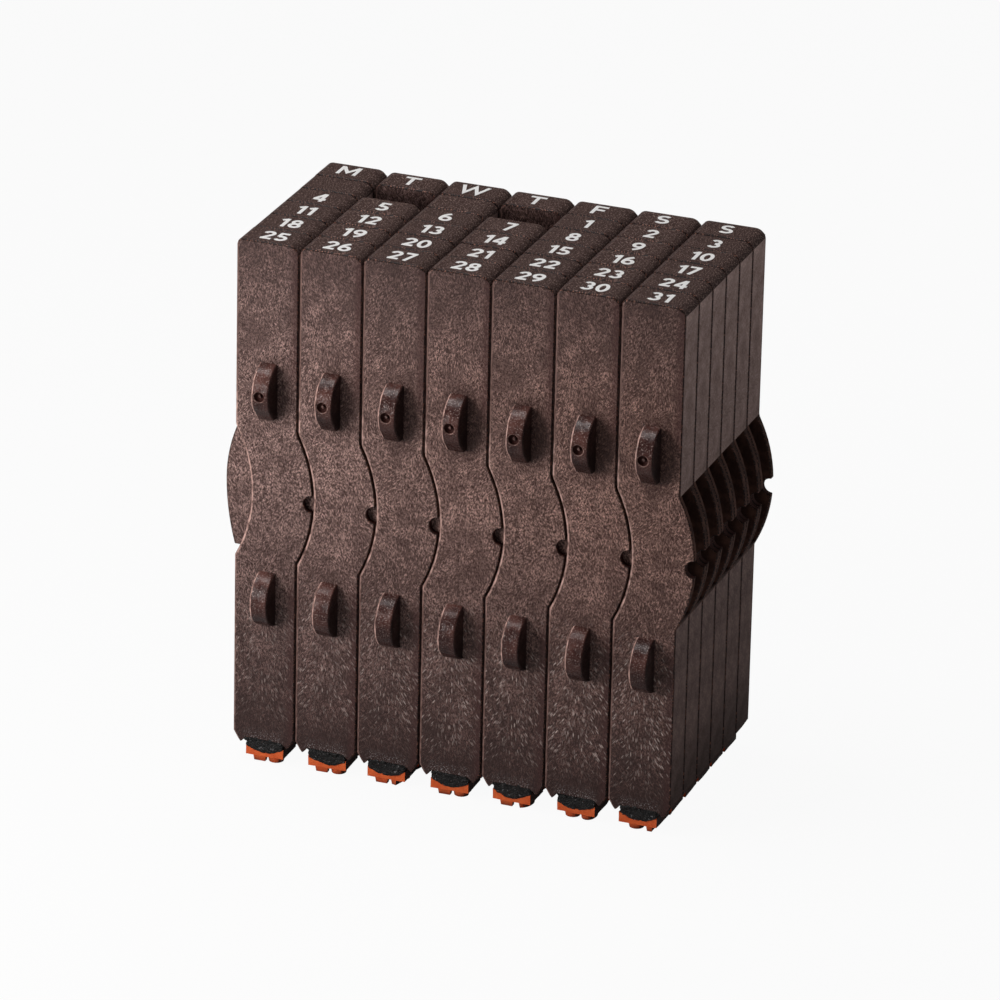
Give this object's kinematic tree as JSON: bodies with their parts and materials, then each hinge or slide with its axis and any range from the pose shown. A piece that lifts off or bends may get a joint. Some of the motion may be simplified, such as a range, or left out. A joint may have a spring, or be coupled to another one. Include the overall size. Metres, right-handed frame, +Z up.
{
  "type": "joining calendar stamp set",
  "caption": "Block of slim interlocking rubber stamps that print a month calendar; tongue and slot sides, half-moon lugs and sockets, dies underneath.",
  "frame": {"origin": "on the ground under the middle of the block's outline box", "axes": "+X from Monday to Sunday, +Y from the last week back to the weekday row, +Z up"},
  "size_m": [0.0556, 0.029, 0.0628],
  "materials": {
    "handle": "dark brown moulded resin with fine fibre filler",
    "cushion": "black glue and foam layer",
    "die": "orange-red stamp rubber"
  },
  "bodies": {
    "weekdays_left": {"handle_weekday_mon": "handle", "handle_weekday_tue_thu": "handle", "handle_weekday_wed": "handle", "cushions_weekdays_left": "cushion", "dies_weekdays_left": "die"},
    "weekdays_right": {"handle_weekday_fri": "handle", "handle_weekday_sat_sun": "handle", "cushions_weekdays_right": "cushion", "dies_weekdays_right": "die"},
    "week_1_left": {"handles_blank": "handle"},
    "week_1_right": {"handle_day_01": "handle", "handle_day_02": "handle", "handle_day_03": "handle", "cushions_week_1_right": "cushion", "dies_week_1_right": "die"},
    "week_2_left": {"handle_day_04": "handle", "handle_day_05": "handle", "handle_day_06": "handle", "handle_day_07": "handle", "cushions_week_2_left": "cushion", "dies_week_2_left": "die"},
    "week_2_right": {"handle_day_08": "handle", "handle_day_09": "handle", "handle_day_10": "handle", "cushions_week_2_right": "cushion", "dies_week_2_right": "die"},
    "week_3_left": {"handle_day_11": "handle", "handle_day_12": "handle", "handle_day_13": "handle", "handle_day_14": "handle", "cushions_week_3_left": "cushion", "dies_week_3_left": "die"},
    "week_3_right": {"handle_day_15": "handle", "handle_day_16": "handle", "handle_day_17": "handle", "cushions_week_3_right": "cushion", "dies_week_3_right": "die"},
    "week_4_left": {"handle_day_18": "handle", "handle_day_19": "handle", "handle_day_20": "handle", "handle_day_21": "handle", "cushions_week_4_left": "cushion", "dies_week_4_left": "die"},
    "week_4_right": {"handle_day_22": "handle", "handle_day_23": "handle", "handle_day_24": "handle", "cushions_week_4_right": "cushion", "dies_week_4_right": "die"},
    "week_5_left": {"handle_day_25": "handle", "handle_day_26": "handle", "handle_day_27": "handle", "handle_day_28": "handle", "cushions_week_5_left": "cushion", "dies_week_5_left": "die"},
    "week_5_right": {"handle_day_29": "handle", "handle_day_30": "handle", "handle_day_31": "handle", "cushions_week_5_right": "cushion", "dies_week_5_right": "die"}
  },
  "joints": [
    {"name": "friday_side_slide", "type": "slide", "parent": "weekdays_left", "child": "weekdays_right", "axis": [1, 0, 0], "range_m": [0, 0.0048]},
    {"name": "week_1_right_slide", "type": "slide", "parent": "weekdays_right", "child": "week_1_right", "axis": [0, -1, 0], "range_m": [0, 0.004]},
    {"name": "week_2_right_slide", "type": "slide", "parent": "week_1_right", "child": "week_2_right", "axis": [0, -1, 0], "range_m": [0, 0.004]},
    {"name": "week_3_right_slide", "type": "slide", "parent": "week_2_right", "child": "week_3_right", "axis": [0, -1, 0], "range_m": [0, 0.004]},
    {"name": "week_4_right_slide", "type": "slide", "parent": "week_3_right", "child": "week_4_right", "axis": [0, -1, 0], "range_m": [0, 0.004]},
    {"name": "week_5_right_slide", "type": "slide", "parent": "week_4_right", "child": "week_5_right", "axis": [0, -1, 0], "range_m": [0, 0.004]},
    {"name": "week_1_left_slide", "type": "slide", "parent": "weekdays_left", "child": "week_1_left", "axis": [0, -1, 0], "range_m": [0, 0.004]},
    {"name": "week_2_left_slide", "type": "slide", "parent": "week_1_left", "child": "week_2_left", "axis": [0, -1, 0], "range_m": [0, 0.004]},
    {"name": "week_3_left_slide", "type": "slide", "parent": "week_2_left", "child": "week_3_left", "axis": [0, -1, 0], "range_m": [0, 0.004]},
    {"name": "week_4_left_slide", "type": "slide", "parent": "week_3_left", "child": "week_4_left", "axis": [0, -1, 0], "range_m": [0, 0.004]},
    {"name": "week_5_left_slide", "type": "slide", "parent": "week_4_left", "child": "week_5_left", "axis": [0, -1, 0], "range_m": [0, 0.004]}
  ],
  "couplings": [
    {"joint": "week_1_left_slide", "follows": "week_1_right_slide", "ratio": 1},
    {"joint": "week_2_left_slide", "follows": "week_2_right_slide", "ratio": 1},
    {"joint": "week_3_left_slide", "follows": "week_3_right_slide", "ratio": 1},
    {"joint": "week_4_left_slide", "follows": "week_4_right_slide", "ratio": 1},
    {"joint": "week_5_left_slide", "follows": "week_5_right_slide", "ratio": 1}
  ]
}
